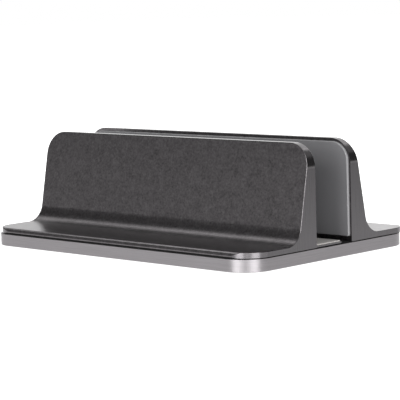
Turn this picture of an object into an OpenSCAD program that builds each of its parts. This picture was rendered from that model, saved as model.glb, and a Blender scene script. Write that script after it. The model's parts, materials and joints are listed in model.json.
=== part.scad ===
// Vertical laptop stand: a base plate carries two mirrored brackets whose fins hold a closed laptop on edge
// X runs along the slot, Y runs across it with the fixed bracket at the front, and Z is up from the table

/* [Base plate] */
// Length of the base plate, along the slot
base_length = 170; // [150:1:220]
// Width of the base plate, across the slot
base_width = 110; // [106:1:140]
// Thickness of the base plate
base_thickness = 5.6; // [5:0.1:8]
// Radius of the base plate's four upright corners
base_corner_radius = 13; // [8:0.5:20]
// Chamfer round the base plate's top and bottom edges
base_edge_chamfer = 0.3; // [0.2:0.1:0.8]

/* [Glide sheet] */
// Thickness of the black sheet between the base plate and the brackets
sheet_thickness = 0.3; // [0.2:0.1:0.8]
// How far the sheet's edge stays back from the base plate's edge
sheet_inset = 1.6; // [1:0.1:3]

/* [Brackets] */
// Height of each bracket above the sheet
bracket_height = 45.7; // [36:0.2:60]
// Reach of the front bracket from its inner face to the tip of its foot
front_reach = 42.3; // [36:0.1:44]
// Reach of the rear bracket from its inner face to the tip of its foot
rear_reach = 41.4; // [36:0.1:44]
// How far a bracket's ends stay back from the ends of the base plate
bracket_end_inset = 0.2; // [0.1:0.1:1]
// How far the front foot's tip stays back from the base plate's front edge
front_tip_inset = 1.4; // [0.5:0.1:2]
// Thickness of the foot
foot_thickness = 2.4; // [1.8:0.1:3.5]
// Thickness of the fin where it meets the foot
fin_root_thickness = 11.6; // [9:0.1:14]
// Thickness of the fin at its top
fin_top_thickness = 3.5; // [2.5:0.1:5]
// Radius of the fin's two upper corners
fin_corner_radius = 10.8; // [5:0.1:16]
// Radius of the hollow curve between the fin and the foot
root_fillet_radius = 8.8; // [4:0.2:11]
// Radius of the front foot's two outer corners
front_foot_corner_radius = 12; // [6:0.5:16]
// Radius of the rear foot's two outer corners
rear_foot_corner_radius = 9.5; // [6:0.5:16]
// Small chamfer along the fin's top edges
fin_edge_chamfer = 0.4; // [0.2:0.1:0.8]
// How far the foot's edge leans in towards its top
foot_edge_lean = 0.3; // [0:0.1:0.8]
// Chamfer along the foot's upper edge, which catches the light
foot_edge_chamfer = 0.7; // [0.3:0.1:1]
// Chamfer under the foot's outer edge, which opens the shadow line above the base plate
foot_under_chamfer = 0.6; // [0.3:0.1:1]

/* [Slot] */
// Width of the slot between the two fins, as it is set in the photo
slot_width = 23.7; // [20:0.1:30]
// Length of the tongue that forms the slot's floor, from the front fin
tongue_length = 16.5; // [12:0.5:18]
// Thickness of the tongue without its pad
tongue_thickness = 0.8; // [0.6:0.1:1.2]
// Gap between the tongue and the sheet
tongue_lift = 0.2; // [0.1:0.1:0.4]
// Gap left between the tongue's nose and the rear fin when the slot is closed right up
nose_gap = 0.7; // [0.4:0.1:1.5]
// How far the rear bracket opens from where it stands
open_travel = 8; // [4:0.5:12]

/* [Soft pads] */
// Thickness of the soft pads on the fins' inner faces
grip_thickness = 1.1; // [0.5:0.1:1.5]
// Bare metal left beside a pad at the fin's ends
grip_margin = 1; // [0.6:0.1:3]
// Bare metal left above a pad
grip_top_margin = 1.4; // [0.6:0.1:3]
// Radius of a pad's upper corners
grip_upper_radius = 8.6; // [4:0.1:12]
// Radius of a pad's lower corners
grip_lower_radius = 0.8; // [0.4:0.1:2]
// Gap between the slot's floor and a pad's lower edge
grip_floor_gap = 0.8; // [0.4:0.1:2]
// Thickness of the soft strip on the tongue
floor_pad_thickness = 0.5; // [0.3:0.1:0.8]
// Bare metal left round that strip, beside the fin and at the tongue's nose and ends
floor_pad_margin = 0.4; // [0.3:0.1:1]

/* [Screws] */
// Distance between a bracket's two screws, along the slot
screw_spacing = 80; // [50:1:90]
// Radius of a screw's shank
screw_radius = 2; // [1.5:0.1:2.5]
// Length of a screw's shank under its head
screw_length = 12; // [10:0.5:14]
// Radius of a screw's domed head
head_radius = 3.8; // [3.4:0.1:4.2]
// Height of a screw's domed head
head_height = 2.2; // [1.6:0.1:2.2]
// Width across the flats of the screw's hexagon socket
socket_flats = 2.5; // [2:0.1:3]
// Depth of the hexagon socket
socket_depth = 1.3; // [1:0.1:1.4]
// Depth of the threaded hole in a bracket's root
thread_depth = 10; // [9:0.5:14]
// Radius of the washer under a clamp screw's head
washer_radius = 4.5; // [4.3:0.1:5]
// Thickness of that washer
washer_thickness = 0.8; // [0.5:0.1:1]
// Thickness of the base plate's web above a washer
clamp_web = 2; // [1.4:0.1:2.2]

/* [Foot pads] */
// Length of an anti-slip pad under the base plate
foot_pad_length = 28; // [16:1:30]
// Width of an anti-slip pad
foot_pad_width = 14; // [8:1:16]
// Thickness of an anti-slip pad
foot_pad_thickness = 1.5; // [1.2:0.1:2]
// How far an anti-slip pad stands out under the base plate
foot_pad_stand = 0.5; // [0.3:0.1:0.8]
// Corner radius of an anti-slip pad
foot_pad_radius = 4; // [2:0.5:5]
// Distance of an anti-slip pad from the base plate's ends
foot_pad_end_inset = 10; // [8:1:14]
// Distance of an anti-slip pad from the base plate's long edges
foot_pad_side_inset = 7; // [5:1:10]

/* [Hidden] */

$fn = 64;
// Length by which a cut runs past the face it opens through
overrun = 1;
// Radial gap between a screw's shank and the threaded hole it turns in
thread_clearance = 0.05;
// Gap between a shank and the hole or slot that it only passes through
passing_clearance = 0.3;
// Gap between a screw head or washer and the wall of its counterbore
counterbore_clearance = 0.5;
// Gap between an anti-slip pad and the wall of its recess
recess_clearance = 0.2;

// Heights of the layers, from the table up
base_z = foot_pad_stand;
sheet_z = base_z + base_thickness;
bracket_z = sheet_z + sheet_thickness;
tongue_top_z = bracket_z + tongue_lift + tongue_thickness;
floor_z = tongue_top_z + floor_pad_thickness;

// Places of the inner faces across the slot
front_face_y = -base_width / 2 + front_tip_inset + front_reach;
rear_face_y = front_face_y + slot_width;
bracket_length = base_length - 2 * bracket_end_inset;

// Outer face of the fin, which leans back by this angle, and the curve that joins it to the foot
fin_slope = atan((fin_root_thickness - fin_top_thickness) / (bracket_height - foot_thickness));
fillet_centre_u = fin_root_thickness + root_fillet_radius * (1 - sin(fin_slope)) / cos(fin_slope);
fillet_centre_v = foot_thickness + root_fillet_radius;

// Travel of the rear bracket towards the front one, until the tongue's nose nearly meets the rear fin
close_travel = slot_width - tongue_length - nose_gap;

// Screws, under the middle of each fin's root
screw_depth_u = fin_root_thickness / 2;
fixed_screw_y = front_face_y - screw_depth_u;
clamp_screw_y = rear_face_y + screw_depth_u;
clamp_seat_z = sheet_z - clamp_web;
head_top_z = clamp_seat_z - washer_thickness;
clamp_slot_length = close_travel + open_travel;
clamp_slot_y = clamp_screw_y + (open_travel - close_travel) / 2;

// Soft pads on the fins and on the tongue
grip_z = floor_z + grip_floor_gap;
grip_length = bracket_length - 2 * grip_margin;
grip_height = bracket_z + bracket_height - grip_top_margin - grip_z;
floor_pad_length = bracket_length - 2 * floor_pad_margin;
floor_pad_width = tongue_length - 2 * floor_pad_margin;

// Anti-slip pads under the base plate
foot_pad_x = base_length / 2 - foot_pad_end_inset - foot_pad_length / 2;
foot_pad_y = base_width / 2 - foot_pad_side_inset - foot_pad_width / 2;

// Rectangle centred on the origin with four round corners
module rounded_rectangle(length, width, radius) {
    square([length - 2 * radius, width], center = true);
    square([length, width - 2 * radius], center = true);
    for (x = [-1, 1], y = [-1, 1])
        translate([x * (length / 2 - radius), y * (width / 2 - radius)])
            circle(r = radius);
}

// Rectangle standing on the X axis, with its two far corners round
module far_rounded_rectangle(length, height, radius) {
    translate([-length / 2, 0])
        square([length, height - radius]);
    translate([-length / 2 + radius, 0])
        square([length - 2 * radius, height]);
    for (x = [-1, 1])
        translate([x * (length / 2 - radius), height - radius])
            circle(r = radius);
}

// Slot centred on the origin that lets a round thing of this radius travel along Y
module travel_slot(radius, travel) {
    square([2 * radius, travel], center = true);
    for (y = [-1, 1])
        translate([0, y * travel / 2])
            circle(r = radius);
}

// Section of a plate with chamfered edges, as wide as the plate
module chamfered_section(width, thickness, chamfer) {
    polygon([
        [-width / 2 + chamfer, 0],
        [width / 2 - chamfer, 0],
        [width / 2, chamfer],
        [width / 2, thickness - chamfer],
        [width / 2 - chamfer, thickness],
        [-width / 2 + chamfer, thickness],
        [-width / 2, thickness - chamfer],
        [-width / 2, chamfer]
    ]);
}

// Turned corner of that plate
module chamfered_disc(radius, thickness, chamfer) {
    rotate_extrude()
        polygon([
            [0, 0],
            [radius - chamfer, 0],
            [radius, chamfer],
            [radius, thickness - chamfer],
            [radius - chamfer, thickness],
            [0, thickness]
        ]);
}

// Plate with round corners and a chamfer all round its top and bottom edges
module chamfered_plate(length, width, thickness, radius, chamfer) {
    run_x = length - 2 * radius;
    run_y = width - 2 * radius;
    translate([-run_x / 2, 0, 0])
        rotate([90, 0, 90])
            linear_extrude(run_x)
                chamfered_section(width, thickness, chamfer);
    translate([0, run_y / 2, 0])
        rotate([90, 0, 0])
            linear_extrude(run_y)
                chamfered_section(length, thickness, chamfer);
    for (x = [-1, 1], y = [-1, 1])
        translate([x * run_x / 2, y * run_y / 2, 0])
            chamfered_disc(radius, thickness, chamfer);
}

// Puts its children at the left and the right screw of a bracket
module at_both_screws(y) {
    for (side = [-1, 1])
        translate([side * screw_spacing / 2, y, 0])
            children();
}

module base_plate() {
    shank_way = screw_radius + passing_clearance;
    head_way = head_radius + counterbore_clearance;
    washer_way = washer_radius + counterbore_clearance;
    color("#a5a3a5")
        difference() {
            translate([0, 0, base_z])
                chamfered_plate(base_length, base_width, base_thickness, base_corner_radius, base_edge_chamfer);
            at_both_screws(fixed_screw_y) {
                cylinder(r = shank_way, h = sheet_z + overrun);
                cylinder(r = head_way, h = head_top_z);
            }
            at_both_screws(clamp_slot_y) {
                linear_extrude(sheet_z + overrun)
                    travel_slot(shank_way, clamp_slot_length);
                linear_extrude(clamp_seat_z)
                    travel_slot(washer_way, clamp_slot_length);
            }
            for (x = [-1, 1], y = [-1, 1])
                translate([x * foot_pad_x, y * foot_pad_y, 0])
                    linear_extrude(foot_pad_thickness)
                        rounded_rectangle(
                            foot_pad_length + 2 * recess_clearance,
                            foot_pad_width + 2 * recess_clearance,
                            foot_pad_radius + recess_clearance
                        );
        }
}

module glide_sheet() {
    shank_way = screw_radius + passing_clearance;
    color("#151516")
        translate([0, 0, sheet_z])
            linear_extrude(sheet_thickness)
                difference() {
                    rounded_rectangle(
                        base_length - 2 * sheet_inset,
                        base_width - 2 * sheet_inset,
                        base_corner_radius - sheet_inset
                    );
                    at_both_screws(fixed_screw_y)
                        circle(r = shank_way);
                    at_both_screws(clamp_slot_y)
                        travel_slot(shank_way, clamp_slot_length);
                }
}

// Section of the fin and the foot: the inner face is at zero, the foot reaches to the right
module fin_and_foot_section(reach) {
    chamfer_rise = fin_edge_chamfer * tan(fin_slope);
    difference() {
        polygon([
            [0, 0],
            [reach - foot_under_chamfer, 0],
            [reach, foot_under_chamfer],
            [reach - foot_edge_lean, foot_thickness - foot_edge_chamfer],
            [reach - foot_edge_lean - foot_edge_chamfer, foot_thickness],
            [fillet_centre_u, foot_thickness],
            [fillet_centre_u, fillet_centre_v],
            [
                fillet_centre_u - root_fillet_radius * cos(fin_slope),
                fillet_centre_v - root_fillet_radius * sin(fin_slope)
            ],
            [fin_top_thickness + chamfer_rise, bracket_height - fin_edge_chamfer],
            [fin_top_thickness - fin_edge_chamfer, bracket_height],
            [fin_edge_chamfer, bracket_height],
            [0, bracket_height - fin_edge_chamfer]
        ]);
        translate([fillet_centre_u, fillet_centre_v])
            circle(r = root_fillet_radius);
    }
}

// Section of the tongue, which runs from inside the fin's root to a round nose on the other side
module tongue_section() {
    nose_radius = tongue_thickness / 2;
    translate([nose_radius - tongue_length, tongue_lift])
        square([tongue_length, tongue_thickness]);
    translate([nose_radius - tongue_length, tongue_lift + nose_radius])
        circle(r = nose_radius);
}

// Whole bracket on the origin: its inner face is at Y zero, its foot reaches towards plus Y
module bracket(reach, foot_radius, with_tongue) {
    back = tongue_length + overrun;
    color("#4b4b4f")
        difference() {
            intersection() {
                translate([-bracket_length / 2, 0, 0])
                    rotate([90, 0, 90])
                        linear_extrude(bracket_length) {
                            fin_and_foot_section(reach);
                            if (with_tongue)
                                tongue_section();
                        }
                translate([0, -back, -overrun])
                    linear_extrude(bracket_height + 2 * overrun)
                        far_rounded_rectangle(bracket_length, back + reach, foot_radius);
                translate([0, reach + overrun, 0])
                    rotate([90, 0, 0])
                        linear_extrude(back + reach + 2 * overrun)
                            far_rounded_rectangle(bracket_length, bracket_height, fin_corner_radius);
            }
            at_both_screws(screw_depth_u)
                translate([0, 0, -overrun])
                    cylinder(r = screw_radius + thread_clearance, h = thread_depth + overrun);
        }
}

module front_bracket() {
    translate([0, front_face_y, bracket_z])
        mirror([0, 1, 0])
            bracket(front_reach, front_foot_corner_radius, true);
}

module rear_bracket() {
    translate([0, rear_face_y, bracket_z])
        bracket(rear_reach, rear_foot_corner_radius, false);
}

// Soft pad standing upright, with its back at Y zero and its face towards minus Y
module grip_pad() {
    color("#6c6c70")
        rotate([90, 0, 0])
            linear_extrude(grip_thickness) {
                translate([0, grip_lower_radius])
                    far_rounded_rectangle(grip_length, grip_height - grip_lower_radius, grip_upper_radius);
                mirror([0, 1])
                    translate([0, -2 * grip_lower_radius])
                        far_rounded_rectangle(grip_length, 2 * grip_lower_radius, grip_lower_radius);
            }
}

module front_grip_pad() {
    translate([0, front_face_y + grip_thickness, grip_z])
        grip_pad();
}

module rear_grip_pad() {
    translate([0, rear_face_y, grip_z])
        grip_pad();
}

// Soft strip on the tongue, on which the laptop's edge stands
module slot_floor_pad() {
    color("#6c6c70")
        translate([-floor_pad_length / 2, front_face_y + floor_pad_margin, tongue_top_z])
            cube([floor_pad_length, floor_pad_width, floor_pad_thickness]);
}

// Button-head screw with its head down: the shank starts at Z zero
module button_screw() {
    dome_radius = (head_radius * head_radius + head_height * head_height) / (2 * head_height);
    color("#8a8a8e")
        difference() {
            union() {
                cylinder(r = screw_radius, h = screw_length);
                intersection() {
                    translate([0, 0, -head_height])
                        cylinder(r = head_radius, h = head_height);
                    translate([0, 0, dome_radius - head_height])
                        sphere(r = dome_radius);
                }
            }
            translate([0, 0, -head_height - overrun])
                cylinder(r = socket_flats / sqrt(3), h = socket_depth + overrun, $fn = 6);
        }
}

// One screw seen from above at the left, minus one, or the right, plus one
module placed_screw(side, y) {
    translate([side * screw_spacing / 2, y, head_top_z])
        button_screw();
}

module left_fixed_screw() {
    placed_screw(-1, fixed_screw_y);
}

module right_fixed_screw() {
    placed_screw(1, fixed_screw_y);
}

module left_clamp_screw() {
    placed_screw(-1, clamp_screw_y);
}

module right_clamp_screw() {
    placed_screw(1, clamp_screw_y);
}

module clamp_washer(side) {
    color("#b4b4b8")
        translate([side * screw_spacing / 2, clamp_screw_y, head_top_z])
            linear_extrude(washer_thickness)
                difference() {
                    circle(r = washer_radius);
                    circle(r = screw_radius + passing_clearance);
                }
}

module left_clamp_washer() {
    clamp_washer(-1);
}

module right_clamp_washer() {
    clamp_washer(1);
}

// Anti-slip pad under one corner of the base plate
module foot_pad(side_x, side_y) {
    color("#202022")
        translate([side_x * foot_pad_x, side_y * foot_pad_y, 0])
            linear_extrude(foot_pad_thickness)
                rounded_rectangle(foot_pad_length, foot_pad_width, foot_pad_radius);
}

module front_left_foot_pad() {
    foot_pad(-1, -1);
}

module front_right_foot_pad() {
    foot_pad(1, -1);
}

module rear_left_foot_pad() {
    foot_pad(-1, 1);
}

module rear_right_foot_pad() {
    foot_pad(1, 1);
}

base_plate();
glide_sheet();
front_bracket();
rear_bracket();
front_grip_pad();
rear_grip_pad();
slot_floor_pad();
left_fixed_screw();
right_fixed_screw();
left_clamp_screw();
right_clamp_screw();
left_clamp_washer();
right_clamp_washer();
front_left_foot_pad();
front_right_foot_pad();
rear_left_foot_pad();
rear_right_foot_pad();
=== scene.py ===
"""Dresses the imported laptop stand: milled brackets, base plate, pads, screws, their finishes and the studio.

Every length is in metres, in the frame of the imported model: X runs along the slot, Y across it, Z up.
"""

import json
import logging
import math
from dataclasses import dataclass, field
from enum import Enum, IntEnum
from typing import Any, Callable, Iterable, Optional, Sequence, Union

import bmesh
import bpy
from mathutils import Matrix, Vector

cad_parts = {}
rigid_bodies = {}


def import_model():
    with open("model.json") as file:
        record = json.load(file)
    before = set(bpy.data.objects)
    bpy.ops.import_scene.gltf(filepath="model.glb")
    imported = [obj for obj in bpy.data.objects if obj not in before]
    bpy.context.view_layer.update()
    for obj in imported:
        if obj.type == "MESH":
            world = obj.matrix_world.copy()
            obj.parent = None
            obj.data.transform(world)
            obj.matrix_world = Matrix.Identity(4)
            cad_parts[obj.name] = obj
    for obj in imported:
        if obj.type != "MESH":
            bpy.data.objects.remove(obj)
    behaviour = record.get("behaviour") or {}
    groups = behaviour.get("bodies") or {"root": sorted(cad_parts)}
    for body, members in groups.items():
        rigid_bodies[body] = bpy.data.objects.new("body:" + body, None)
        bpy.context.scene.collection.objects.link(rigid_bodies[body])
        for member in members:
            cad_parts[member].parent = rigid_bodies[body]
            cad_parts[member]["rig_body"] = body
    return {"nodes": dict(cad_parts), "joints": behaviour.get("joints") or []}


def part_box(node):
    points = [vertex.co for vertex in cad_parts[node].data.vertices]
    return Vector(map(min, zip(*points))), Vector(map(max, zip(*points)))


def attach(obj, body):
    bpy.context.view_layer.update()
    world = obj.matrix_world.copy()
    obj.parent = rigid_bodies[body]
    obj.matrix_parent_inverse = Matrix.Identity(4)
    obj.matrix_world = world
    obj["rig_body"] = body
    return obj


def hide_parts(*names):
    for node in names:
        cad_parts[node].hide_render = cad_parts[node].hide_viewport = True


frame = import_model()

log = logging.getLogger("laptop_stand")

MM = 0.001
NEAR = 0.01 * MM
WELD = 0.001 * MM
CUT_SLACK = 0.0001 * MM
SQUARE_EDGE = 40.0
RIGHT_ANGLE = math.pi / 2
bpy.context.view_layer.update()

Colour = tuple[float, float, float]


# Shader expressions


class Signal:
    """One output socket of a node tree, with Python's operators adding the Math nodes."""

    def __init__(self, shader: "Shader", socket: bpy.types.NodeSocket) -> None:
        """Wraps a socket.

        Args:
            shader: The tree that holds the socket.
            socket: The output socket.
        """
        self.shader = shader
        self.socket = socket

    def math(self, operation: str, *others: Union["Signal", float], clamp: bool = False) -> "Signal":
        """Adds one Math node behind this socket.

        Args:
            operation: The Math node's operation.
            others: The node's further inputs.
            clamp: Whether the result is held between 0 and 1.

        Returns:
            The node's output.
        """
        return self.shader.math(operation, self, *others, clamp=clamp)

    def __add__(self, other: Union["Signal", float]) -> "Signal":
        """Works out self + other.

        Args:
            other: The other signal or number.

        Returns:
            The result.
        """
        return self.math("ADD", other)

    __radd__ = __add__

    def __mul__(self, other: Union["Signal", float]) -> "Signal":
        """Works out self * other.

        Args:
            other: The other signal or number.

        Returns:
            The result.
        """
        return self.math("MULTIPLY", other)

    __rmul__ = __mul__

    def __sub__(self, other: Union["Signal", float]) -> "Signal":
        """Works out self - other.

        Args:
            other: The other signal or number.

        Returns:
            The result.
        """
        return self.math("SUBTRACT", other)

    def __rsub__(self, other: Union["Signal", float]) -> "Signal":
        """Works out other - self.

        Args:
            other: The other signal or number.

        Returns:
            The result.
        """
        return self.shader.math("SUBTRACT", other, self)

    def __abs__(self) -> "Signal":
        """Drops the sign.

        Returns:
            The absolute value.
        """
        return self.math("ABSOLUTE")

    def ramp(self, low: float, high: float) -> "Signal":
        """Maps low to 0 and high to 1 in a straight line, held at both ends.

        Args:
            low: The value that gives 0.
            high: The value that gives 1.

        Returns:
            The mapped value.
        """
        slope = 1 / (high - low)
        return self.math("MULTIPLY_ADD", slope, -low * slope, clamp=True)

    def blend(self, start: Colour, end: Colour) -> "Signal":
        """Mixes two colours, with this value as the factor.

        Args:
            start: The colour at 0.
            end: The colour at 1.

        Returns:
            The mixed colour.
        """
        return self.shader.node(
            "ShaderNodeMix",
            {"data_type": "RGBA"},
            {"Factor_Float": self, "A_Color": (*start, 1), "B_Color": (*end, 1)},
            "Result_Color",
        )


class Shader:
    """A material or world node tree, built by calls that read like expressions."""

    def __init__(self, owner: Union[bpy.types.Material, bpy.types.World]) -> None:
        """Empties the owner's tree.

        Args:
            owner: The material or the world.
        """
        owner.use_nodes = True
        self.tree = owner.node_tree
        self.tree.nodes.clear()

    def node(
        self,
        kind: str,
        settings: Optional[dict[str, Any]] = None,
        sockets: Optional[dict[str, Any]] = None,
        output: Union[str, int] = 0,
    ) -> Signal:
        """Adds any node.

        Args:
            kind: The node's type.
            settings: Its own properties, set first.
            sockets: Values or signals for its inputs, by name or identifier.
            output: The wanted output, by name, identifier or number.

        Returns:
            That output.
        """
        made = self.tree.nodes.new(kind)
        for name, value in (settings or {}).items():
            setattr(made, name, value)
        for name, value in (sockets or {}).items():
            socket = self._find(made.inputs, name)
            if isinstance(value, Signal):
                self.tree.links.new(value.socket, socket)
            elif value is not None:
                socket.default_value = value
        return Signal(self, self._find(made.outputs, output))

    @staticmethod
    def _find(sockets: Any, name: Union[str, int]) -> bpy.types.NodeSocket:
        """Finds a socket.

        Args:
            sockets: A node's inputs or outputs.
            name: The socket's number, identifier or name.

        Returns:
            The socket.
        """
        if isinstance(name, int):
            return sockets[name]
        for socket in sockets:
            if socket.identifier == name:
                return socket
        return sockets[name]

    def math(self, operation: str, *values: Union[Signal, float], clamp: bool = False) -> Signal:
        """Adds one Math node.

        Args:
            operation: Its operation.
            values: Its inputs in order.
            clamp: Whether the result is held between 0 and 1.

        Returns:
            The result.
        """
        sockets = {("Value" if i == 0 else f"Value_{i:03d}"): v for i, v in enumerate(values)}
        return self.node("ShaderNodeMath", {"operation": operation, "use_clamp": clamp}, sockets)

    def place(self, scale: Sequence[float] = (1, 1, 1)) -> Signal:
        """Object coordinates, stretched.

        Args:
            scale: Stretch along X, Y and Z.

        Returns:
            The coordinates.
        """
        here = self.node("ShaderNodeTexCoord", output="Object")
        return self.node("ShaderNodeMapping", {}, {"Vector": here, "Scale": tuple(scale)})

    def axis(self, signal: Signal, name: str) -> Signal:
        """One component of a vector.

        Args:
            signal: The vector.
            name: X, Y or Z.

        Returns:
            The component.
        """
        return self.node("ShaderNodeSeparateXYZ", {}, {"Vector": signal}, name)

    def noise(self, scale: Sequence[float], detail: float = 3, roughness: float = 0.55) -> Signal:
        """Grey noise on Object coordinates.

        Args:
            scale: Cells per metre along X, Y and Z.
            detail: Number of finer layers.
            roughness: Weight of the finer layers.

        Returns:
            The noise, around 0.5.
        """
        return self.node(
            "ShaderNodeTexNoise",
            {"noise_dimensions": "3D"},
            {"Vector": self.place(scale), "Scale": 1.0, "Detail": detail, "Roughness": roughness},
        )

    def bump(self, height: Signal, strength: float, distance: float) -> Signal:
        """Turns a height into a normal.

        Args:
            height: The height.
            strength: How much of it shows.
            distance: Height that the value 1 stands for.

        Returns:
            The normal.
        """
        return self.node("ShaderNodeBump", {}, {"Height": height, "Strength": strength, "Distance": distance})

    def surface(self, sockets: dict[str, Any]) -> None:
        """Adds the Principled shader and the output.

        Args:
            sockets: Values or signals for the shader's inputs.
        """
        self.close("ShaderNodeOutputMaterial", self.node("ShaderNodeBsdfPrincipled", {}, sockets))

    def close(self, kind: str, shader: Signal) -> None:
        """Ends the tree in its output node.

        Args:
            kind: The output node's type.
            shader: What it shows.
        """
        self.tree.links.new(shader.socket, self.tree.nodes.new(kind).inputs["Surface"])


# Finishes


class Grain(Enum):
    """Fine lines of a cutter or brush, as cells per metre along X, Y and Z."""

    UPRIGHT = (60.0, 3200.0, 60.0)
    LEVEL = (40.0, 40.0, 3000.0)
    LEVEL_ON_TOP = (40.0, 3000.0, 40.0)


@dataclass(frozen=True)
class BlastedAluminium:
    """Dark anodised aluminium, blasted with fine beads before the dye."""

    name: str = "blasted_aluminium"
    dark: Colour = (0.082, 0.077, 0.08)
    light: Colour = (0.208, 0.196, 0.203)
    roughness: float = 0.31
    speckle: float = 950.0
    cloud: float = 260.0
    speckle_share: float = 0.75
    contrast: tuple[float, float] = (0.3, 0.7)
    gloss_spread: float = 0.12
    grain_strength: float = 0.15
    depth: float = 0.02 * MM

    def material(self) -> bpy.types.Material:
        """Mixes the finish.

        Returns:
            The finished material.
        """
        made = bpy.data.materials.new(self.name)
        shader = Shader(made)
        speckle = shader.noise((self.speckle,) * 3, detail=4, roughness=0.7)
        cloud = shader.noise((self.cloud,) * 3, detail=2)
        mottling = (speckle * self.speckle_share + cloud * (1 - self.speckle_share)).ramp(*self.contrast)
        shader.surface(
            {
                "Base Color": mottling.blend(self.dark, self.light),
                "Metallic": 1.0,
                "Roughness": self.roughness + (speckle - 0.5) * self.gloss_spread,
                "Normal": shader.bump(speckle, self.grain_strength, self.depth),
            }
        )
        return made


@dataclass(frozen=True)
class BrushedAluminium:
    """Anodised aluminium with a cutter's or brush's fine lines; upright cuts carry a painted shade that darkens
    them towards the top.
    """

    name: str
    dark: Colour
    light: Colour
    grain: Grain
    roughness: float = 0.3
    edge_tint: float = 1.0
    depth: float = 0.006 * MM
    foot_height: float = 10 * MM
    corner_height: float = 42 * MM
    painted_shade_share: float = 0.5
    top_range: tuple[float, float] = (0.6, 0.8)
    contrast: tuple[float, float] = (0.3, 0.7)
    gloss_spread: float = 0.16
    line_strength: float = 0.4

    def material(self) -> bpy.types.Material:
        """Mixes the finish.

        Returns:
            The finished material.
        """
        made = bpy.data.materials.new(self.name)
        shader = Shader(made)
        lines = shader.noise(self.grain.value, detail=3, roughness=0.6)
        if self.grain is Grain.LEVEL:
            upward = abs(shader.axis(shader.node("ShaderNodeTexCoord", output="Normal"), "Z"))
            on_top = upward.ramp(*self.top_range)
            top_lines = shader.noise(Grain.LEVEL_ON_TOP.value, detail=3, roughness=0.6)
            lines = on_top * top_lines + (1 - on_top) * lines
        grain_and_painted_shade = lines.ramp(*self.contrast)
        # Painted shade: on upright cuts the colour darkens from the foot's height to the corner's height,
        # standing in for the floor's light that reaches only the lower fin.
        if self.grain is Grain.UPRIGHT:
            height = shader.axis(shader.node("ShaderNodeTexCoord", output="Object"), "Z")
            grain_and_painted_shade = (grain_and_painted_shade + 1 - height.ramp(self.foot_height, self.corner_height)) * self.painted_shade_share
        shader.surface(
            {
                "Base Color": grain_and_painted_shade.blend(self.dark, self.light),
                "Metallic": 1.0,
                "Roughness": self.roughness + (lines - 0.5) * self.gloss_spread,
                "Specular Tint": (self.edge_tint,) * 3 + (1,),
                "Normal": shader.bump(lines, self.line_strength, self.depth),
            }
        )
        return made


@dataclass(frozen=True)
class Moulded:
    """A moulded silicone, rubber or plastic with a faint satin skin."""

    name: str
    dark: Colour
    light: Colour
    roughness: float
    pore: float
    depth: float
    specular: float = 0.5
    cloud: float = 40.0
    cloud_share: float = 0.5
    contrast: tuple[float, float] = (0.3, 0.7)
    gloss_spread: float = 0.14
    pore_strength: float = 0.3

    def material(self) -> bpy.types.Material:
        """Mixes the finish.

        Returns:
            The finished material.
        """
        made = bpy.data.materials.new(self.name)
        shader = Shader(made)
        pores = shader.noise((self.pore,) * 3, detail=4, roughness=0.65)
        cloud = shader.noise((self.cloud,) * 3, detail=2)
        mottling = (pores * (1 - self.cloud_share) + cloud * self.cloud_share).ramp(*self.contrast)
        shader.surface(
            {
                "Base Color": mottling.blend(self.dark, self.light),
                "Metallic": 0.0,
                "Roughness": self.roughness + (cloud - 0.5) * self.gloss_spread,
                "Specular IOR Level": self.specular,
                "Normal": shader.bump(pores, self.pore_strength, self.depth),
            }
        )
        return made


@dataclass(frozen=True)
class TurnedSteel:
    """Plated steel with faint scuffs."""

    name: str
    dark: Colour
    light: Colour
    roughness: float = 0.3
    scuff: float = 700.0
    contrast: tuple[float, float] = (0.35, 0.7)
    gloss_spread: float = 0.3
    scuff_strength: float = 0.2
    depth: float = 0.01 * MM

    def material(self) -> bpy.types.Material:
        """Mixes the finish.

        Returns:
            The finished material.
        """
        made = bpy.data.materials.new(self.name)
        shader = Shader(made)
        scuffs = shader.noise((self.scuff,) * 3, detail=4, roughness=0.7)
        shader.surface(
            {
                "Base Color": scuffs.ramp(*self.contrast).blend(self.dark, self.light),
                "Metallic": 1.0,
                "Roughness": self.roughness + (scuffs - 0.5) * self.gloss_spread,
                "Normal": shader.bump(scuffs, self.scuff_strength, self.depth),
            }
        )
        return made


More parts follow.
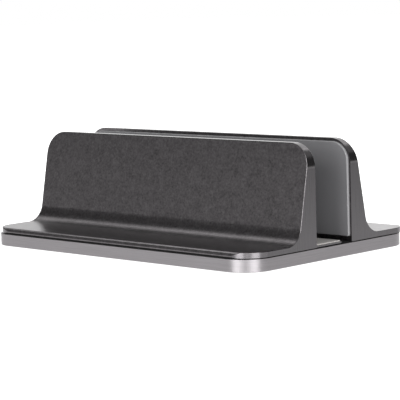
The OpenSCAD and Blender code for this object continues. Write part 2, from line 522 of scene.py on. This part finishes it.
@dataclass
class Palette:
    """All finishes of the stand, made once."""

    blasted: bpy.types.Material = field(default_factory=lambda: BlastedAluminium().material())
    upright: bpy.types.Material = field(
        default_factory=lambda: BrushedAluminium(
            "cut_aluminium_upright", (0.084, 0.08, 0.083), (0.14, 0.134, 0.139), Grain.UPRIGHT, 0.3
        ).material()
    )
    level: bpy.types.Material = field(
        default_factory=lambda: BrushedAluminium(
            "cut_aluminium_level", (0.127, 0.121, 0.126), (0.165, 0.157, 0.164), Grain.LEVEL, 0.24
        ).material()
    )
    corner: bpy.types.Material = field(
        default_factory=lambda: BrushedAluminium(
            "cut_aluminium_corner", (0.1, 0.096, 0.098), (0.18, 0.172, 0.178), Grain.UPRIGHT, 0.16, 0.66
        ).material()
    )
    base: bpy.types.Material = field(
        default_factory=lambda: BrushedAluminium(
            "base_aluminium", (0.235, 0.224, 0.232), (0.285, 0.271, 0.281), Grain.LEVEL, 0.37
        ).material()
    )
    silicone: bpy.types.Material = field(
        default_factory=lambda: Moulded(
            "grip_silicone", (0.125, 0.124, 0.129), (0.15, 0.149, 0.155), 0.5, 3000.0, 0.01 * MM
        ).material()
    )
    # Painted highlight: a lighter silicone for the pads' rims and edges, standing in for the light they catch.
    silicone_painted_rim_highlight: bpy.types.Material = field(
        default_factory=lambda: Moulded(
            "grip_silicone_rim", (0.2, 0.2, 0.205), (0.24, 0.24, 0.245), 0.5, 3000.0, 0.01 * MM
        ).material()
    )
    floor_silicone: bpy.types.Material = field(
        default_factory=lambda: Moulded(
            "floor_silicone", (0.36, 0.345, 0.335), (0.43, 0.415, 0.4), 0.5, 3000.0, 0.01 * MM
        ).material()
    )
    # A thin black sheet on the plate; its near-black colour is partly the sheet's own and partly painted shade
    # for the gap under the brackets.
    sheet: bpy.types.Material = field(
        default_factory=lambda: Moulded(
            "sheet_plastic", (0.006, 0.006, 0.006), (0.011, 0.011, 0.011), 0.6, 2200.0, 0.01 * MM, 0.3
        ).material()
    )
    rubber: bpy.types.Material = field(
        default_factory=lambda: Moulded(
            "foot_rubber", (0.018, 0.018, 0.019), (0.04, 0.04, 0.042), 0.75, 1800.0, 0.06 * MM, 0.4
        ).material()
    )
    screw: bpy.types.Material = field(
        default_factory=lambda: TurnedSteel("screw_steel", (0.3, 0.3, 0.31), (0.42, 0.42, 0.43)).material()
    )
    washer: bpy.types.Material = field(
        default_factory=lambda: TurnedSteel(
            "washer_steel", (0.45, 0.45, 0.46), (0.58, 0.58, 0.59), 0.35
        ).material()
    )


# Modelling


class Workpiece:
    """A bmesh on the bench, shaped by the operators of a model shop."""

    def __init__(self) -> None:
        """Starts with nothing on the bench."""
        self.bm = bmesh.new()
        self.materials: list[bpy.types.Material] = []

    def everything(self) -> list[Any]:
        """Gathers the whole mesh.

        Returns:
            All vertices, edges and faces.
        """
        return [*self.bm.verts, *self.bm.edges, *self.bm.faces]

    def block(self, low: Vector, high: Vector) -> "Workpiece":
        """Adds a block.

        Args:
            low: Its lowest corner.
            high: Its highest corner.

        Returns:
            This workpiece.
        """
        size = high - low
        place = Matrix.Translation((low + high) / 2) @ Matrix.Diagonal((*size, 1))
        bmesh.ops.create_cube(self.bm, size=1, matrix=place)
        return self

    def prism(self, section: Sequence[tuple[float, float]], start: float, end: float) -> "Workpiece":
        """Adds a section in the YZ plane and extrudes it along X.

        Args:
            section: Corners of the section as Y and Z.
            start: Where the prism starts on X.
            end: Where it ends.

        Returns:
            This workpiece.
        """
        face = self.bm.faces.new([self.bm.verts.new((start, y, z)) for y, z in section])
        grown = bmesh.ops.extrude_face_region(self.bm, geom=[face], use_keep_orig=True)
        moved = [v for v in grown["geom"] if isinstance(v, bmesh.types.BMVert)]
        bmesh.ops.translate(self.bm, verts=moved, vec=(end - start, 0, 0))
        bmesh.ops.recalc_face_normals(self.bm, faces=self.bm.faces[:])
        return self

    def turned(self, outline: Sequence[tuple[float, float]], steps: int) -> "Workpiece":
        """Spins an outline round the Z axis.

        Args:
            outline: Points of the outline as radius and Z.
            steps: Number of steps of the full turn.

        Returns:
            This workpiece.
        """
        verts = [self.bm.verts.new((radius, 0, z)) for radius, z in outline]
        edges = [self.bm.edges.new(pair) for pair in zip(verts, verts[1:])]
        bmesh.ops.spin(
            self.bm, geom=[*verts, *edges], cent=(0, 0, 0), axis=(0, 0, 1), dvec=(0, 0, 0),
            angle=2 * math.pi, steps=steps, use_merge=True,
        )
        bmesh.ops.remove_doubles(self.bm, verts=self.bm.verts[:], dist=WELD)
        return self

    def edges(self, test: Callable[[Vector, Vector], bool]) -> list[bmesh.types.BMEdge]:
        """Finds edges.

        Args:
            test: Takes the edge's two ends and says whether it is wanted.

        Returns:
            The wanted edges.
        """
        return [e for e in self.bm.edges if test(e.verts[0].co, e.verts[1].co)]

    def creases(self, angle: float) -> list[bmesh.types.BMEdge]:
        """Finds the outer edges that turn by more than an angle.

        Args:
            angle: The angle in degrees.

        Returns:
            Those edges.
        """
        return [
            e for e in self.bm.edges
            if e.is_manifold and e.is_convex and e.calc_face_angle(0) > math.radians(angle)
        ]

    def round(self, edges: Iterable[bmesh.types.BMEdge], radius: float, segments: int) -> "Workpiece":
        """Bevels edges.

        Args:
            edges: The edges.
            radius: Distance of the bevel from the edge, on each face.
            segments: Number of facets.

        Returns:
            This workpiece.
        """
        bmesh.ops.bevel(
            self.bm, geom=list(edges), offset=radius, offset_type="OFFSET", segments=segments, profile=0.5,
            affect="EDGES", material=-1, clamp_overlap=False,
        )
        return self

    def mill(self, point: Vector, normal: Vector, ceiling: float = math.inf) -> "Workpiece":
        """Cuts away what lies beyond a plane and closes the cut.

        Args:
            point: A point of the plane.
            normal: The plane's normal, towards what goes.
            ceiling: Height above which the cutter reaches nothing.

        Returns:
            This workpiece.
        """
        reached = [
            part for part in self.everything()
            if all(v.co.z <= ceiling for v in (part.verts if hasattr(part, "verts") else [part]))
        ]
        cut = bmesh.ops.bisect_plane(
            self.bm, geom=reached, dist=CUT_SLACK, plane_co=point, plane_no=normal, clear_outer=True
        )
        rim = [e for e in cut["geom_cut"] if isinstance(e, bmesh.types.BMEdge)]
        bmesh.ops.holes_fill(self.bm, edges=rim, sides=0)
        return self

    def tidy(self) -> "Workpiece":
        """Merges doubles and points the faces outwards.

        Returns:
            This workpiece.
        """
        bmesh.ops.remove_doubles(self.bm, verts=self.bm.verts[:], dist=WELD)
        bmesh.ops.recalc_face_normals(self.bm, faces=self.bm.faces[:])
        return self

    def dress(
        self,
        materials: Sequence[bpy.types.Material],
        pick: Optional[Callable[[bmesh.types.BMFace], int]] = None,
        smooth: float = 14.0,
    ) -> "Workpiece":
        """Shades the faces and gives them their materials.

        Args:
            materials: The materials by number.
            pick: Takes a face and returns its material's number.
            smooth: Angle in degrees above which an edge stays crisp.

        Returns:
            This workpiece.
        """
        self.bm.normal_update()
        for face in self.bm.faces:
            face.smooth = True
            face.material_index = pick(face) if pick else 0
        for edge in self.bm.edges:
            edge.smooth = edge.is_manifold and edge.calc_face_angle(0) < math.radians(smooth)
        self.materials = list(materials)
        return self

    def finish(self, name: str) -> bpy.types.Object:
        """Turns the bmesh into an object at the origin.

        Args:
            name: The object's name.

        Returns:
            The object.
        """
        mesh = bpy.data.meshes.new(name)
        self.bm.to_mesh(mesh)
        self.bm.free()
        made = bpy.data.objects.new(name, mesh)
        bpy.context.scene.collection.objects.link(made)
        for material in self.materials:
            mesh.materials.append(material)
        return made


def even_normals(piece: bpy.types.Object) -> None:
    """Keeps flats flat beside their round edges.

    Args:
        piece: The object.
    """
    weighted = piece.modifiers.new("even_normals", "WEIGHTED_NORMAL")
    weighted.mode = "FACE_AREA"
    weighted.weight = 100
    weighted.keep_sharp = True


def carve(piece: bpy.types.Object, cutters: Sequence[bpy.types.Object]) -> None:
    """Cuts shapes out of a piece and removes the cutters.

    Args:
        piece: The object that is cut.
        cutters: The objects that are cut away.
    """
    for cutter in cutters:
        cut = piece.modifiers.new("cut", "BOOLEAN")
        cut.operation = "DIFFERENCE"
        cut.solver = "EXACT"
        cut.object = cutter
        solved = bpy.data.meshes.new_from_object(piece.evaluated_get(bpy.context.evaluated_depsgraph_get()))
        piece.modifiers.clear()
        old, piece.data = piece.data, solved
        solved.name = old.name
        bpy.data.meshes.remove(old)
        spent = cutter.data
        bpy.data.objects.remove(cutter)
        bpy.data.meshes.remove(spent)


def seat(piece: bpy.types.Object, body: str, node: str) -> bpy.types.Object:
    """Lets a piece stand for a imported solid.

    Args:
        piece: The object.
        body: The body that it rides on.
        node: The solid that it stands for.

    Returns:
        The object.
    """
    even_normals(piece)
    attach(piece, body)
    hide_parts(node)
    log.info("%s rides on %s: %d faces", piece.name, body, len(piece.data.polygons))
    return piece


@dataclass
class Screws:
    """Places and sizes of the four button-head screws that hold the brackets."""

    spacing: float = 80 * MM
    shank: float = 2 * MM
    head: float = 3.8 * MM
    head_height: float = 2.2 * MM
    socket: float = 2.5 * MM
    socket_depth: float = 1.3 * MM
    washer: float = 4.5 * MM
    passing: float = 0.3 * MM
    counterbore: float = 0.5 * MM
    socket_land: float = 0.25 * MM
    socket_dip: float = 0.05 * MM
    tip_chamfer: float = 0.3 * MM
    washer_edge: float = 0.12 * MM
    dome_steps: int = 10
    steps: int = 48
    washer_steps: int = 56

    def rod(
        self, x: float, y: float, radius: float, low: float, high: float, travel: float = 0
    ) -> bpy.types.Object:
        """A round or slot-shaped cutter.

        Args:
            x: Its middle on X.
            y: Its middle on Y.
            radius: Its radius.
            low: Its lower end.
            high: Its upper end.
            travel: Length of the slot's straight part along Y.

        Returns:
            The cutter.
        """
        work = Workpiece()
        bmesh.ops.create_cone(
            work.bm, cap_ends=True, segments=self.steps, radius1=radius, radius2=radius, depth=high - low,
            matrix=Matrix.Translation((x, y, (low + high) / 2)),
        )
        if travel:
            near = [v for v in work.bm.verts if v.co.y < y + WELD]
            far = [v for v in work.bm.verts if v.co.y > y - WELD]
            middle = {v for v in near if v in far}
            for half, way in ((near, -travel / 2), (far, travel / 2)):
                bmesh.ops.translate(work.bm, verts=[v for v in half if v not in middle], vec=(0, way, 0))
            bmesh.ops.bisect_plane(
                work.bm, geom=work.everything(), plane_co=(x, y, 0), plane_no=(0, 1, 0), dist=CUT_SLACK
            )
        work.tidy().dress([])
        return work.finish("cutter")

    def button(self, node: str, body: str, palette: Palette) -> bpy.types.Object:
        """One screw, its domed head down.

        Args:
            node: The solid that it stands for.
            body: The body that it rides on.
            palette: The finishes.

        Returns:
            The screw.
        """
        low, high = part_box(node)
        x, y = (low.x + high.x) / 2, (low.y + high.y) / 2
        seat_z = low.z + self.head_height
        socket_corner = self.socket / math.sqrt(3)
        rim = socket_corner + self.socket_land
        dome = (self.head**2 + self.head_height**2) / (2 * self.head_height)
        centre = low.z + dome
        start = math.asin(rim / dome)
        end = math.asin(self.head / dome)
        arc = [start + (end - start) * i / self.dome_steps for i in range(self.dome_steps + 1)]
        outline = [(dome * math.sin(a), centre - dome * math.cos(a)) for a in arc]
        outline += [(self.head, seat_z), (self.shank, seat_z), (self.shank, high.z - self.tip_chamfer)]
        outline += [(self.shank - self.tip_chamfer, high.z), (0, high.z)]
        work = Workpiece().turned(outline, self.steps)
        mouth = [e for e in work.bm.edges if e.is_boundary]
        hexagon = bmesh.ops.create_circle(
            work.bm, segments=6, radius=socket_corner, cap_ends=False,
            matrix=Matrix.Translation((0, 0, outline[0][1] + self.socket_dip)),
        )
        hex_edges = list({e for v in hexagon["verts"] for e in v.link_edges})
        bmesh.ops.bridge_loops(work.bm, edges=[*mouth, *hex_edges])
        wall = bmesh.ops.extrude_edge_only(work.bm, edges=hex_edges)
        floor = [v for v in wall["geom"] if isinstance(v, bmesh.types.BMVert)]
        bmesh.ops.translate(work.bm, verts=floor, vec=(0, 0, self.socket_depth))
        bmesh.ops.holes_fill(work.bm, edges=[e for e in work.bm.edges if e.is_boundary], sides=0)
        bmesh.ops.translate(work.bm, verts=work.bm.verts[:], vec=(x, y, 0))
        work.tidy().dress([palette.screw], smooth=25)
        return seat(work.finish(f"{node}_turned"), body, node)

    def ring(self, node: str, body: str, palette: Palette) -> bpy.types.Object:
        """One washer.

        Args:
            node: The solid that it stands for.
            body: The body that it rides on.
            palette: The finishes.

        Returns:
            The washer.
        """
        low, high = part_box(node)
        x, y = (low.x + high.x) / 2, (low.y + high.y) / 2
        inner, outer, edge = self.shank + self.passing, (high.x - low.x) / 2, self.washer_edge
        outline = [
            (inner, low.z + edge), (inner + edge, low.z), (outer - edge, low.z), (outer, low.z + edge),
            (outer, high.z - edge), (outer - edge, high.z), (inner + edge, high.z), (inner, high.z - edge),
            (inner, low.z + edge),
        ]
        work = Workpiece().turned(outline, self.washer_steps)
        bmesh.ops.translate(work.bm, verts=work.bm.verts[:], vec=(x, y, 0))
        work.tidy().dress([palette.washer])
        return seat(work.finish(f"{node}_stamped"), body, node)


class BracketFinish(IntEnum):
    """Numbers of a bracket's finishes."""

    BLASTED = 0
    UPRIGHT = 1
    LEVEL = 2
    CORNER = 3


@dataclass
class Bracket:
    """A milled bracket: a tapered fin on a thin foot, and on the front one the slot's floor."""

    node: str
    body: str
    outward: int
    screws: Screws
    has_tongue: bool = False
    reach: float = 42.3 * MM
    foot_corner: float = 12 * MM
    foot: float = 2.4 * MM
    fin_root: float = 11.6 * MM
    fin_top: float = 3.5 * MM
    fin_corner: float = 10.8 * MM
    fillet: float = 8.8 * MM
    lean: float = 0.45 * MM
    foot_edge: Vector = field(default_factory=lambda: Vector((0, 0.85, 0.62)) * MM)
    under: float = 0.35 * MM
    knee: float = 0.8 * MM
    fine: float = 0.2 * MM
    tongue: float = 16.5 * MM
    tongue_thickness: float = 0.8 * MM
    tongue_lift: float = 0.2 * MM
    thread_depth: float = 10 * MM
    thread_gap: float = 0.05 * MM
    arc_steps: int = 24
    nose_share: float = 0.49
    nose_steps: int = 6
    fine_steps: int = 2
    fine_crease: float = 28.0
    end_limit: float = 0.15
    side_limit: float = 0.06
    top_limit: float = 0.3
    rising_limit: float = 0.02
    level_limit: float = 0.2

    def section(self, height: float) -> list[tuple[float, float]]:
        """Corners of the section, with the inner face at zero and the foot towards plus.

        Args:
            height: Height of the fin.

        Returns:
            The corners as distance from the inner face and height.
        """
        corners = [(0, 0), (self.reach, 0), (self.reach, self.foot), (self.fin_root, self.foot)]
        corners += [(self.fin_top, height), (0, height)]
        if self.has_tongue:
            top = self.tongue_lift + self.tongue_thickness
            corners += [(0, top), (-self.tongue, top), (-self.tongue, self.tongue_lift), (0, self.tongue_lift)]
        return corners

    def build(self, palette: Palette) -> bpy.types.Object:
        """Makes the bracket.

        Args:
            palette: The finishes.

        Returns:
            The bracket.
        """
        low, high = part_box(self.node)
        height, half = high.z - low.z, (high.x - low.x) / 2
        work = Workpiece().prism(self.section(height), -half, half)

        def along(y: float, z: float) -> list[bmesh.types.BMEdge]:
            """Finds the long edges at one place of the section.

            Args:
                y: The place's distance from the inner face.
                z: Its height.

            Returns:
                Those edges.
            """
            return work.edges(
                lambda a, b: all(abs(p.y - y) < NEAR and abs(p.z - z) < NEAR for p in (a, b))
                and abs(a.x - b.x) > half
            )

        def across(offset: Callable[[Vector], float]) -> list[bmesh.types.BMEdge]:
            """Finds the edges of both ends that lie on a face.

            Args:
                offset: Takes a point and returns its distance from that face.

            Returns:
                Those edges.
            """
            return work.edges(
                lambda a, b: all(abs(offset(p)) < NEAR and abs(abs(p.x) - half) < NEAR for p in (a, b))
                and a.x * b.x > 0
            )

        slope = math.atan2(self.fin_root - self.fin_top, height - self.foot)
        setback = self.fillet / math.tan((RIGHT_ANGLE + slope) / 2)
        work.round(along(self.fin_root, self.foot), setback, self.arc_steps)
        if self.has_tongue:
            nose = self.tongue_thickness * self.nose_share
            tops = (self.tongue_lift, self.tongue_lift + self.tongue_thickness)
            work.round([e for z in tops for e in along(-self.tongue, z)], nose, self.nose_steps)
        work.round(across(lambda p: p.z - height), self.fin_corner, self.arc_steps)
        work.round(across(lambda p: p.y - self.reach), self.foot_corner, self.arc_steps)
        leaning = Vector((0, self.foot - self.knee, self.lean))
        work.mill(Vector((0, self.reach, self.knee)), leaning)
        work.mill(Vector((0, self.reach, self.under)), Vector((0, 1, -1)))
        line = Vector((0, self.reach - self.lean, self.foot)) + Vector((0, self.lean, -leaning.y)) * (
            self.foot_edge.z / leaning.y
        )
        work.mill(line, Vector((0, self.foot_edge.z, self.foot_edge.y)), self.foot + NEAR)
        crisp_inside = 0.0 if self.has_tongue else NEAR
        fine_edges = [
            e for e in work.creases(self.fine_crease)
            if max(v.co.z for v in e.verts) > self.under and max(v.co.y for v in e.verts) >= crisp_inside
        ]
        work.round(fine_edges, self.fine, self.fine_steps)

        scale = Vector((1, self.outward, 1))
        bmesh.ops.scale(work.bm, verts=work.bm.verts[:], vec=scale)
        tip = high.y if self.outward > 0 else low.y
        inner = tip - self.outward * self.reach
        bmesh.ops.translate(work.bm, verts=work.bm.verts[:], vec=(0, inner, low.z))
        work.tidy()

        def finish_of(face: bmesh.types.BMFace) -> int:
            """Picks blasted faces, cut ends and the milled corners of the foot.

            Args:
                face: A face of the bracket.

            Returns:
                The number of its finish.
            """
            normal, middle = face.normal, face.calc_center_median()
            on_end = abs(normal.y) < self.end_limit and abs(normal.x) > self.side_limit
            on_top = normal.z > self.top_limit and middle.z > high.z - self.fine
            if on_top or (on_end and normal.z > self.rising_limit):
                return BracketFinish.CORNER
            upright = abs(normal.z) < self.level_limit and abs(normal.x) > self.side_limit
            if upright and abs(normal.y) >= self.end_limit and middle.z < low.z + self.foot:
                return BracketFinish.LEVEL
            return BracketFinish.UPRIGHT if on_end else BracketFinish.BLASTED

        work.dress([palette.blasted, palette.upright, palette.level, palette.corner], finish_of)
        piece = work.finish(f"{self.node}_milled")
        depth = inner + self.outward * self.fin_root / 2
        carve(
            piece,
            [
                self.screws.rod(side * self.screws.spacing / 2, depth, self.screws.shank + self.thread_gap,
                                low.z - MM, low.z + self.thread_depth)
                for side in (-1, 1)
            ],
        )
        return seat(piece, self.body, self.node)


@dataclass
class BasePlate:
    """The plate under both brackets, with its counterbores, clamp slots and pad recesses."""

    screws: Screws
    corner: float = 13 * MM
    edge: float = 0.15 * MM
    eased_width: float = 0.9 * MM
    eased_drop: float = 0.22 * MM
    arc_steps: int = 24
    clamp_web: float = 2 * MM
    washer_thickness: float = 0.8 * MM
    recess_gap: float = 0.2 * MM
    recess_radius: float = 4 * MM
    edge_steps: int = 2
    recess_steps: int = 10

    def build(self, palette: Palette) -> bpy.types.Object:
        """Makes the plate.

        Args:
            palette: The finishes.

        Returns:
            The plate.
        """
        low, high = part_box("base_plate")
        work = Workpiece().block(low, high)
        work.round(work.edges(lambda a, b: abs(a.z - b.z) > NEAR), self.corner, self.arc_steps)
        lid = [f for f in work.bm.faces if f.normal.z > 0.9]
        rim = list({v for f in lid for v in f.verts})
        bmesh.ops.inset_region(work.bm, faces=lid, thickness=self.eased_width, use_even_offset=True)
        bmesh.ops.translate(work.bm, verts=rim, vec=(0, 0, -self.eased_drop))
        work.round(work.creases(SQUARE_EDGE), self.edge, self.edge_steps)
        work.tidy().dress([palette.base], smooth=10)
        piece = work.finish("base_plate_milled")

        screws = self.screws
        clamp_seat = high.z - self.clamp_web
        head_top = clamp_seat - self.washer_thickness
        through = (low.z - MM, high.z + MM)
        cutters = []
        for side in ("left", "right"):
            fixed_low, fixed_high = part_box(f"{side}_fixed_screw")
            x, y = (fixed_low.x + fixed_high.x) / 2, (fixed_low.y + fixed_high.y) / 2
            cutters.append(screws.rod(x, y, screws.shank + screws.passing, *through))
            cutters.append(screws.rod(x, y, screws.head + screws.counterbore, low.z - MM, head_top))
            close, wide = next(j["range_m"] for j in frame["joints"] if j["name"] == "slot_adjust")
            clamp_low, clamp_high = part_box(f"{side}_clamp_screw")
            x, y = (clamp_low.x + clamp_high.x) / 2, (clamp_low.y + clamp_high.y) / 2 + (close + wide) / 2
            travel = wide - close
            cutters.append(screws.rod(x, y, screws.shank + screws.passing, *through, travel))
            cutters.append(screws.rod(x, y, screws.washer + screws.counterbore, low.z - MM, clamp_seat, travel))
        for row in ("front", "rear"):
            for side in ("left", "right"):
                pad_low, pad_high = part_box(f"{row}_{side}_foot_pad")
                room = Vector((self.recess_gap, self.recess_gap, 0))
                start = Vector((pad_low.x, pad_low.y, low.z - MM)) - room
                cutter = Workpiece().block(start, Vector((pad_high.x, pad_high.y, pad_high.z)) + room)
                upright = cutter.edges(lambda a, b: abs(a.z - b.z) > NEAR)
                cutter.round(upright, self.recess_radius + self.recess_gap, self.recess_steps)
                cutter.tidy().dress([])
                cutters.append(cutter.finish("cutter"))
        carve(piece, cutters)
        return seat(piece, "base", "base_plate")


@dataclass
class GripPad:
    """A silicone pad on a fin's inner face, its rim and edges in a lighter silicone colour as a painted
    highlight.
    """

    node: str
    body: str
    facing: int
    upper_radius: float = 8.6 * MM
    lower_radius: float = 0.8 * MM
    rim: float = 0.5 * MM
    upper_steps: int = 20
    lower_steps: int = 6
    rim_steps: int = 3
    face_limit: float = 0.95

    def build(self, palette: Palette) -> bpy.types.Object:
        """Makes the pad.

        Args:
            palette: The finishes.

        Returns:
            The pad.
        """
        low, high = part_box(self.node)
        work = Workpiece().block(low, high)
        upper = work.edges(lambda a, b: abs(a.y - b.y) > NEAR and a.z > high.z - NEAR)
        work.round(upper, self.upper_radius, self.upper_steps)
        lower = work.edges(lambda a, b: abs(a.y - b.y) > NEAR and max(a.z, b.z) < low.z + NEAR)
        work.round(lower, self.lower_radius, self.lower_steps)
        front = high.y if self.facing > 0 else low.y
        outer = [e for e in work.creases(SQUARE_EDGE) if all(abs(v.co.y - front) < NEAR for v in e.verts)]
        work.round(outer, self.rim, self.rim_steps)
        # Painted highlight: faces not turned straight out take the lighter rim silicone.
        work.tidy().dress(
            [palette.silicone, palette.silicone_painted_rim_highlight],
            lambda face: int(abs(face.normal.y) <= self.face_limit),
            smooth=35,
        )
        return seat(work.finish(f"{self.node}_moulded"), self.body, self.node)


@dataclass
class FloorPad:
    """The silicone strip on the tongue."""

    node: str = "slot_floor_pad"
    rim: float = 0.2 * MM
    rim_steps: int = 2

    def build(self, palette: Palette) -> bpy.types.Object:
        """Makes the strip.

        Args:
            palette: The finishes.

        Returns:
            The strip.
        """
        low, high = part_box(self.node)
        work = Workpiece().block(low, high)
        top = [e for e in work.creases(SQUARE_EDGE) if all(v.co.z > high.z - NEAR for v in e.verts)]
        work.round(top, self.rim, self.rim_steps)
        work.tidy().dress([palette.floor_silicone], smooth=35)
        return seat(work.finish(f"{self.node}_moulded"), "base", self.node)


@dataclass
class FootPad:
    """An anti-slip pad in its recess under the plate."""

    node: str
    radius: float = 4 * MM
    edge: float = 0.25 * MM
    corner_steps: int = 10
    edge_steps: int = 2

    def build(self, palette: Palette) -> bpy.types.Object:
        """Makes the pad.

        Args:
            palette: The finishes.

        Returns:
            The pad.
        """
        low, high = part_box(self.node)
        work = Workpiece().block(low, high)
        work.round(work.edges(lambda a, b: abs(a.z - b.z) > NEAR), self.radius, self.corner_steps)
        bottom = [e for e in work.creases(SQUARE_EDGE) if all(v.co.z < low.z + NEAR for v in e.verts)]
        work.round(bottom, self.edge, self.edge_steps)
        work.tidy().dress([palette.rubber], smooth=30)
        return seat(work.finish(f"{self.node}_cut"), "base", self.node)


# Studio


@dataclass
class Softbox:
    """A flat soft light, placed by where it stands as seen from the stand."""

    name: str
    azimuth: float
    elevation: float
    distance: float
    width: float
    height: float
    radiance: float

    def light(self) -> bpy.types.Object:
        """Hangs the light and points it at the stand.

        Returns:
            The light.
        """
        lamp = bpy.data.lights.new(self.name, "AREA")
        lamp.shape = "RECTANGLE"
        lamp.size, lamp.size_y = self.width, self.height
        lamp.energy = self.radiance * math.pi * self.width * self.height
        made = bpy.data.objects.new(self.name, lamp)
        turn, tilt = math.radians(self.azimuth), math.radians(self.elevation)
        way = Vector((math.sin(turn) * math.cos(tilt), -math.cos(turn) * math.cos(tilt), math.sin(tilt)))
        aim = way.to_track_quat("Z", "Y").to_matrix().to_4x4()
        made.matrix_world = Matrix.Translation(way * self.distance) @ aim
        bpy.context.scene.collection.objects.link(made)
        return made


@dataclass
class Studio:
    """White floor and backdrop, a few softboxes and the camera of the photograph."""

    floor_size: float = 12.0
    floor_gap: float = 0.02 * MM
    floor_glow: float = 0.98
    floor_white: float = 0.3
    floor_polish: float = 0.12
    dusk: float = 0.14
    softboxes: tuple[Softbox, ...] = (
        Softbox("left_front_softbox", 5, 17, 1.4, 0.82, 0.9, 6.2),
        Softbox("right_front_softbox", 67, 17, 1.4, 0.82, 0.9, 6.2),
        Softbox("front_fill", 36, 17, 1.4, 0.34, 0.9, 2.4),
        Softbox("left_softbox", -103, 44, 1.3, 0.52, 0.38, 1.4),
        Softbox("left_low_strip", -44, 7, 2.0, 1.4, 0.35, 0.32),
        Softbox("overhead_softbox", -146, 64, 1.3, 1.6, 0.6, 1.4),
        Softbox("back_softbox", -156, 33, 1.5, 1.15, 0.75, 2.0),
        Softbox("side_softbox", 172, 43, 1.3, 0.2, 0.36, 1.1),
        Softbox("side_fill", 156, 34, 1.3, 0.45, 0.5, 0.4),
        Softbox("backdrop_light", -138, 7, 2.2, 3.0, 1.1, 1.28),
    )
    camera_place: Vector = field(default_factory=lambda: Vector((0.57833114, -0.58788380, 0.11617147)))
    camera_right: Vector = field(default_factory=lambda: Vector((0.71732935, 0.69608157, -0.03015035)))
    camera_up: Vector = field(default_factory=lambda: Vector((-0.05847113, 0.10326428, 0.99293384)))
    lens: float = 158.892
    sensor: float = 36.0
    near_clip: float = 10 * MM
    shift: tuple[float, float] = (-0.00069, 0.00105)

    def camera(self) -> bpy.types.Object:
        """Sets the camera where the photograph was taken.

        Returns:
            The camera.
        """
        eye = bpy.data.cameras.new("camera")
        eye.sensor_fit, eye.sensor_width = "HORIZONTAL", self.sensor
        eye.lens = self.lens
        eye.shift_x, eye.shift_y = self.shift
        eye.clip_start = self.near_clip
        made = bpy.data.objects.new("camera", eye)
        right, up = self.camera_right.normalized(), self.camera_up.normalized()
        turn = Matrix((right, up, right.cross(up))).transposed().to_4x4()
        made.matrix_world = Matrix.Translation(self.camera_place) @ turn
        bpy.context.scene.collection.objects.link(made)
        bpy.context.scene.camera = made
        return made

    def floor(self) -> bpy.types.Object:
        """Lays the pale floor.

        Returns:
            The floor.
        """
        material = bpy.data.materials.new("pale_floor")
        shader = Shader(material)
        shader.surface(
            {
                "Base Color": (self.floor_white,) * 3 + (1,),
                "Roughness": self.floor_polish,
                "Emission Color": (1, 1, 1, 1),
                "Emission Strength": self.floor_glow,
            }
        )
        work = Workpiece()
        bmesh.ops.create_grid(
            work.bm, x_segments=1, y_segments=1, size=self.floor_size / 2,
            matrix=Matrix.Translation((0, 0, -self.floor_gap)),
        )
        work.dress([material])
        made = work.finish("floor")
        return made

    def world(self) -> None:
        """Makes the room: white to the eye, dim where no light stands."""
        room = bpy.data.worlds.new("studio")
        bpy.context.scene.world = room
        shader = Shader(room)
        seen = shader.node("ShaderNodeLightPath", output="Is Camera Ray")
        strength = seen * (1 - self.dusk) + self.dusk
        glow = shader.node("ShaderNodeBackground", {}, {"Color": (1, 1, 1, 1), "Strength": strength})
        shader.close("ShaderNodeOutputWorld", glow)

    def build(self) -> None:
        """Sets up everything round the stand."""
        self.camera()
        self.floor()
        self.world()
        for softbox in self.softboxes:
            softbox.light()
        bpy.context.scene.view_settings.view_transform = "Standard"
        log.info("studio: %d softboxes", len(self.softboxes))


# The stand


@dataclass
class LaptopStand:
    """The whole stand: base plate, two brackets, their pads and what holds them."""

    palette: Palette = field(default_factory=Palette)
    screws: Screws = field(default_factory=Screws)

    def build(self) -> None:
        """Builds every piece in the order of assembly."""
        BasePlate(self.screws).build(self.palette)
        Bracket("front_bracket", "base", -1, self.screws, has_tongue=True).build(self.palette)
        rear = Bracket("rear_bracket", "slider", 1, self.screws, reach=41.4 * MM, foot_corner=9.5 * MM)
        rear.build(self.palette)
        GripPad("front_grip_pad", "base", 1).build(self.palette)
        GripPad("rear_grip_pad", "slider", -1).build(self.palette)
        FloorPad().build(self.palette)
        for side in ("left", "right"):
            self.screws.button(f"{side}_fixed_screw", "base", self.palette)
            self.screws.button(f"{side}_clamp_screw", f"{side}_clamp", self.palette)
            self.screws.ring(f"{side}_clamp_washer", self.washer_body(side), self.palette)
            for row in ("front", "rear"):
                FootPad(f"{row}_{side}_foot_pad").build(self.palette)
        # The glide sheet takes the near-black sheet finish, partly painted shade for the gap under the
        # brackets.
        sheet = frame["nodes"]["glide_sheet"]
        sheet.data.materials.clear()
        sheet.data.materials.append(self.palette.sheet)
        log.info("glide_sheet keeps its packed shape")

    @staticmethod
    def washer_body(side: str) -> str:
        """Finds the body that a clamp washer rides on.

        Args:
            side: Left or right.

        Returns:
            The body's name.
        """
        return frame["nodes"][f"{side}_clamp_washer"]["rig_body"]


def main() -> None:
    """Builds the stand and the studio."""
    logging.basicConfig(level=logging.INFO, format="%(name)s: %(message)s")
    LaptopStand().build()
    Studio().build()


if __name__ == "__main__":
    main()
